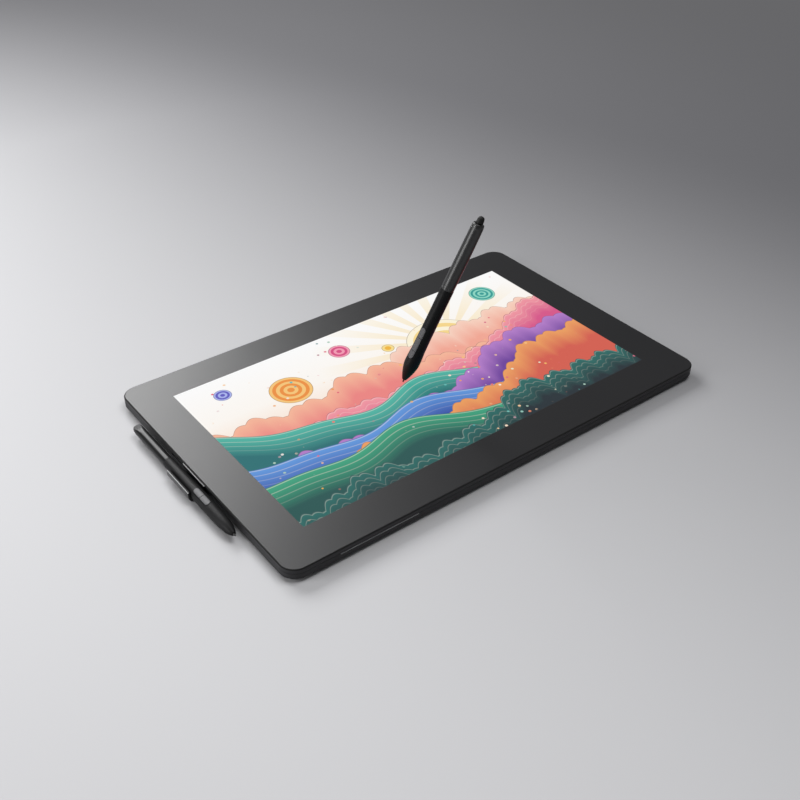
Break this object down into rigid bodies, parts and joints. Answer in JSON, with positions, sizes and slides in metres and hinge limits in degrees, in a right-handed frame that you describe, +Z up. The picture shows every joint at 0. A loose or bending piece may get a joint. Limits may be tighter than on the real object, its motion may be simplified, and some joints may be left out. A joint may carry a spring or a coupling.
{
  "type": "graphics tablet with screen",
  "caption": "Slim pen display: a flat screen under etched glass with a wide dark border, fold-out rear legs, a side holder with a slim pen, and a larger pen standing on the glass.",
  "frame": {"origin": "on the desk plane, under the middle of the tablet's outline", "axes": "+X to the user's right along the tablet's width, +Y away from the user, +Z up out of the screen"},
  "size_m": [0.424, 0.2593, 0.1545],
  "materials": {
    "etched_glass": "etched matte, dark border",
    "black_tape": "matte",
    "clear_bond": "clear",
    "panel": "flat layers",
    "green_board": "board",
    "shield_metal": "bare sheet",
    "case_black": "fine matte",
    "socket_steel": "bright",
    "ribbon": "film",
    "black_rubber": "matte",
    "black_screws": "black",
    "pin_steel": "ground",
    "holder_black": "satin",
    "button_black": "satin",
    "pen_soft": "soft touch",
    "pen_gloss": "gloss",
    "pen_keys": "satin grey",
    "nib_plastic": "matte",
    "copper_coil": "wound wire"
  },
  "bodies": {
    "tablet": {"cover_glass": "etched_glass", "glass_tape": "black_tape", "bond_layer": "clear_bond", "display_panel": "panel", "digitizer_board": "green_board", "shield_plate": "shield_metal", "front_frame": "case_black", "rear_cover": "case_black", "main_board": "green_board", "usb_c_ports": "socket_steel", "panel_flex": "ribbon", "switch_board": "green_board", "tact_switch": "socket_steel", "rubber_feet": "black_rubber", "cover_screws": "black_screws", "left_leg_pin": "pin_steel", "right_leg_pin": "pin_steel", "pen_holder": "holder_black"},
    "power_button": {"power_button": "button_black"},
    "left_leg": {"left_leg": "case_black", "left_leg_pad": "black_rubber"},
    "right_leg": {"right_leg": "case_black", "right_leg_pad": "black_rubber"},
    "pen": {"pen_grip": "pen_soft", "pen_barrel": "pen_gloss", "pen_coil": "copper_coil", "pen_board": "green_board"},
    "pen_nib": {"pen_nib": "nib_plastic"},
    "pen_eraser": {"pen_eraser": "nib_plastic"},
    "pen_key_front": {"pen_key_front": "pen_keys"},
    "pen_key_middle": {"pen_key_middle": "pen_keys"},
    "pen_key_rear": {"pen_key_rear": "pen_keys"},
    "slim_pen": {"slim_grip": "pen_soft", "slim_barrel": "pen_gloss", "slim_coil": "copper_coil", "slim_board": "green_board"},
    "slim_nib": {"slim_nib": "nib_plastic"},
    "slim_key_front": {"slim_key_front": "pen_keys"},
    "slim_key_rear": {"slim_key_rear": "pen_keys"}
  },
  "joints": [
    {"name": "left_leg_fold", "type": "hinge", "parent": "tablet", "child": "left_leg", "pos_m": [-0.118, 0.0917, 0.00325], "axis": [1, 0, 0], "range_deg": [0, 100]},
    {"name": "right_leg_fold", "type": "hinge", "parent": "tablet", "child": "right_leg", "pos_m": [0.118, 0.0917, 0.00325], "axis": [1, 0, 0], "range_deg": [0, 100]},
    {"name": "power_press", "type": "slide", "parent": "tablet", "child": "power_button", "axis": [0, -1, 0], "range_m": [0, 0.0005], "stiffness_N_per_m": 2000},
    {"name": "pen_lift", "type": "slide", "parent": "tablet", "child": "pen", "axis": [0.3767, -0.1446, 0.915], "range_m": [0, 0.1]},
    {"name": "pen_nib_press", "type": "slide", "parent": "pen", "child": "pen_nib", "axis": [0.3767, -0.1446, 0.915], "range_m": [0, 0.0005], "stiffness_N_per_m": 1000},
    {"name": "pen_eraser_press", "type": "slide", "parent": "pen", "child": "pen_eraser", "axis": [-0.3767, 0.1446, -0.915], "range_m": [0, 0.0005], "stiffness_N_per_m": 1000},
    {"name": "pen_key_front_press", "type": "slide", "parent": "pen", "child": "pen_key_front", "axis": [0.9256, 0.0974, -0.3657], "range_m": [0, 0.0004], "stiffness_N_per_m": 1500},
    {"name": "pen_key_middle_press", "type": "slide", "parent": "pen", "child": "pen_key_middle", "axis": [0.9256, 0.0974, -0.3657], "range_m": [0, 0.0004], "stiffness_N_per_m": 1500},
    {"name": "pen_key_rear_press", "type": "slide", "parent": "pen", "child": "pen_key_rear", "axis": [0.9256, 0.0974, -0.3657], "range_m": [0, 0.0004], "stiffness_N_per_m": 1500},
    {"name": "slim_pen_lift", "type": "slide", "parent": "tablet", "child": "slim_pen", "axis": [0, 0, 1], "range_m": [0, 0.06]},
    {"name": "slim_nib_press", "type": "slide", "parent": "slim_pen", "child": "slim_nib", "axis": [0, 1, 0], "range_m": [0, 0.0004], "stiffness_N_per_m": 1000},
    {"name": "slim_key_front_press", "type": "slide", "parent": "slim_pen", "child": "slim_key_front", "axis": [0.2079, 0, -0.9781], "range_m": [0, 0.0004], "stiffness_N_per_m": 1500},
    {"name": "slim_key_rear_press", "type": "slide", "parent": "slim_pen", "child": "slim_key_rear", "axis": [0.2079, 0, -0.9781], "range_m": [0, 0.0004], "stiffness_N_per_m": 1500}
  ]
}
